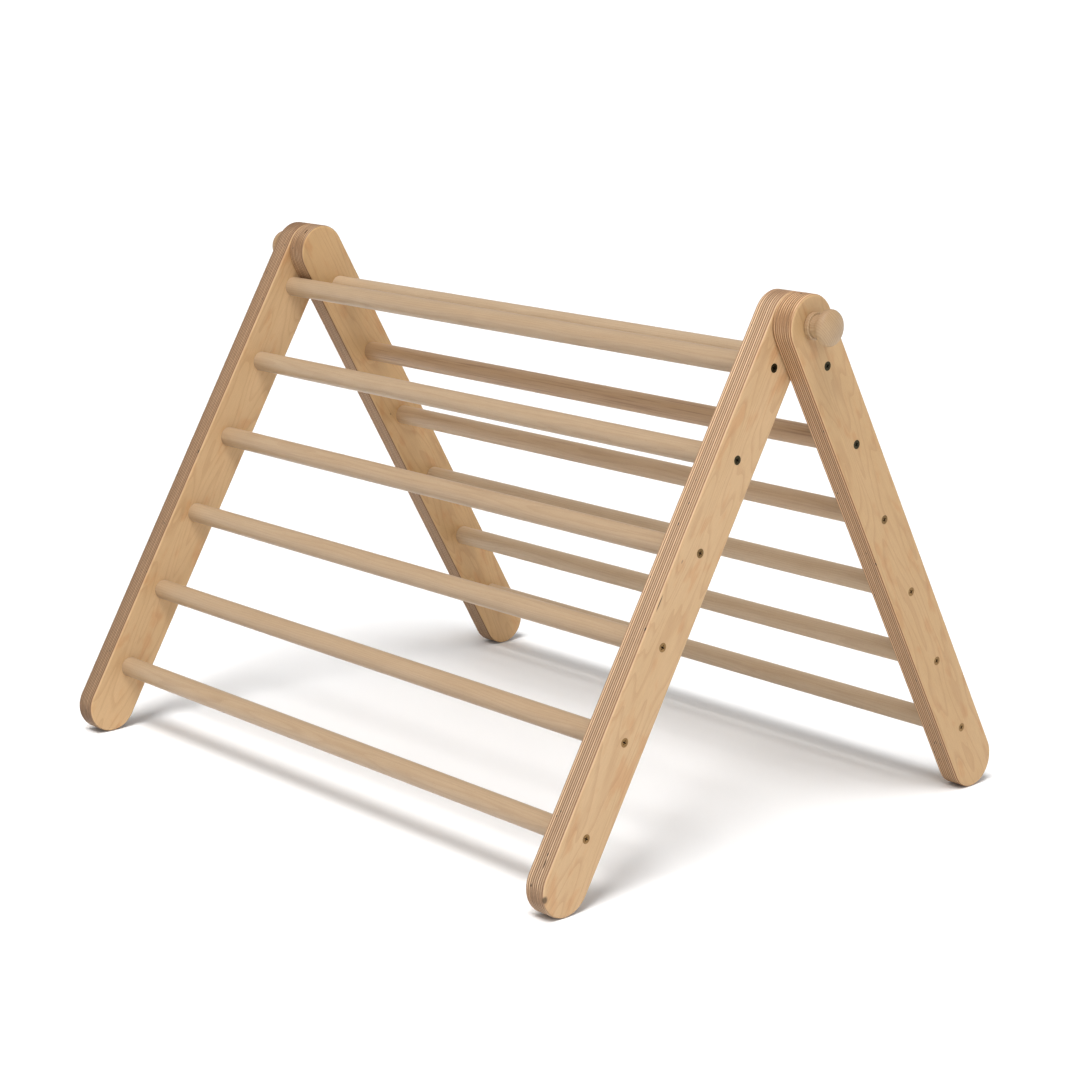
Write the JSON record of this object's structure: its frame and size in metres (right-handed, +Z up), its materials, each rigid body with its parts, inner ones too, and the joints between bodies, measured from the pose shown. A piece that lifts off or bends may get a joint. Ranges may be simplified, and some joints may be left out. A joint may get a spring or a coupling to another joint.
{
  "type": "folding climbing frame",
  "caption": "Low wooden climbing frame for small children: two rung ladders hinged at the top, clamped by a turned knob on each side.",
  "frame": {"origin": "on the floor, under the middle of the hinge line", "axes": "+X along the hinge line and the rungs, -Y towards the front frame's feet, +Z up"},
  "size_m": [0.9254, 0.6938, 0.604],
  "materials": {
    "birch_plywood": "oiled birch plywood, sanded edges with the plies showing",
    "beech_dowel": "oiled turned beech",
    "knob_beech": "oiled turned beech",
    "screw_steel": "browned steel",
    "stud_steel": "bright zinc plate",
    "insert_steel": "yellow zinc plate"
  },
  "bodies": {
    "front_frame": {"front_rail_left": "birch_plywood", "front_rail_right": "birch_plywood", "front_rung_1": "beech_dowel", "front_rung_2": "beech_dowel", "front_rung_3": "beech_dowel", "front_rung_4": "beech_dowel", "front_rung_5": "beech_dowel", "front_rung_6": "beech_dowel", "front_screws_left": "screw_steel", "front_screws_right": "screw_steel", "threaded_insert_right": "insert_steel"},
    "rear_frame": {"rear_rail_left": "birch_plywood", "rear_rail_right": "birch_plywood", "rear_rung_1": "beech_dowel", "rear_rung_2": "beech_dowel", "rear_rung_3": "beech_dowel", "rear_rung_4": "beech_dowel", "rear_rung_5": "beech_dowel", "rear_rung_6": "beech_dowel", "rear_screws_left": "screw_steel", "rear_screws_right": "screw_steel", "threaded_insert_left": "insert_steel"},
    "stud_right": {"knob_stud_right": "stud_steel"},
    "knob_right": {"knob_right": "knob_beech"},
    "stud_left": {"knob_stud_left": "stud_steel"},
    "knob_left": {"knob_left": "knob_beech"}
  },
  "joints": [
    {"name": "frame_fold", "type": "hinge", "parent": "front_frame", "child": "rear_frame", "pos_m": [0, 0, 0.57153], "axis": [1, 0, 0], "range_deg": [-1, 240]},
    {"name": "knob_right_travel", "type": "slide", "parent": "front_frame", "child": "stud_right", "axis": [1, 0, 0], "range_m": [0, 0.0025]},
    {"name": "knob_right_turn", "type": "hinge", "parent": "stud_right", "child": "knob_right", "pos_m": [0.4315, 0, 0.57153], "axis": [1, 0, 0], "range_deg": [0, 721]},
    {"name": "knob_left_travel", "type": "slide", "parent": "rear_frame", "child": "stud_left", "axis": [-1, 0, 0], "range_m": [0, 0.0025]},
    {"name": "knob_left_turn", "type": "hinge", "parent": "stud_left", "child": "knob_left", "pos_m": [-0.4315, 0, 0.57153], "axis": [-1, 0, 0], "range_deg": [0, 721]}
  ],
  "couplings": [
    {"joint": "knob_right_turn", "follows": "knob_right_travel", "rad_per_m": 5026.5},
    {"joint": "knob_left_turn", "follows": "knob_left_travel", "rad_per_m": 5026.5}
  ]
}
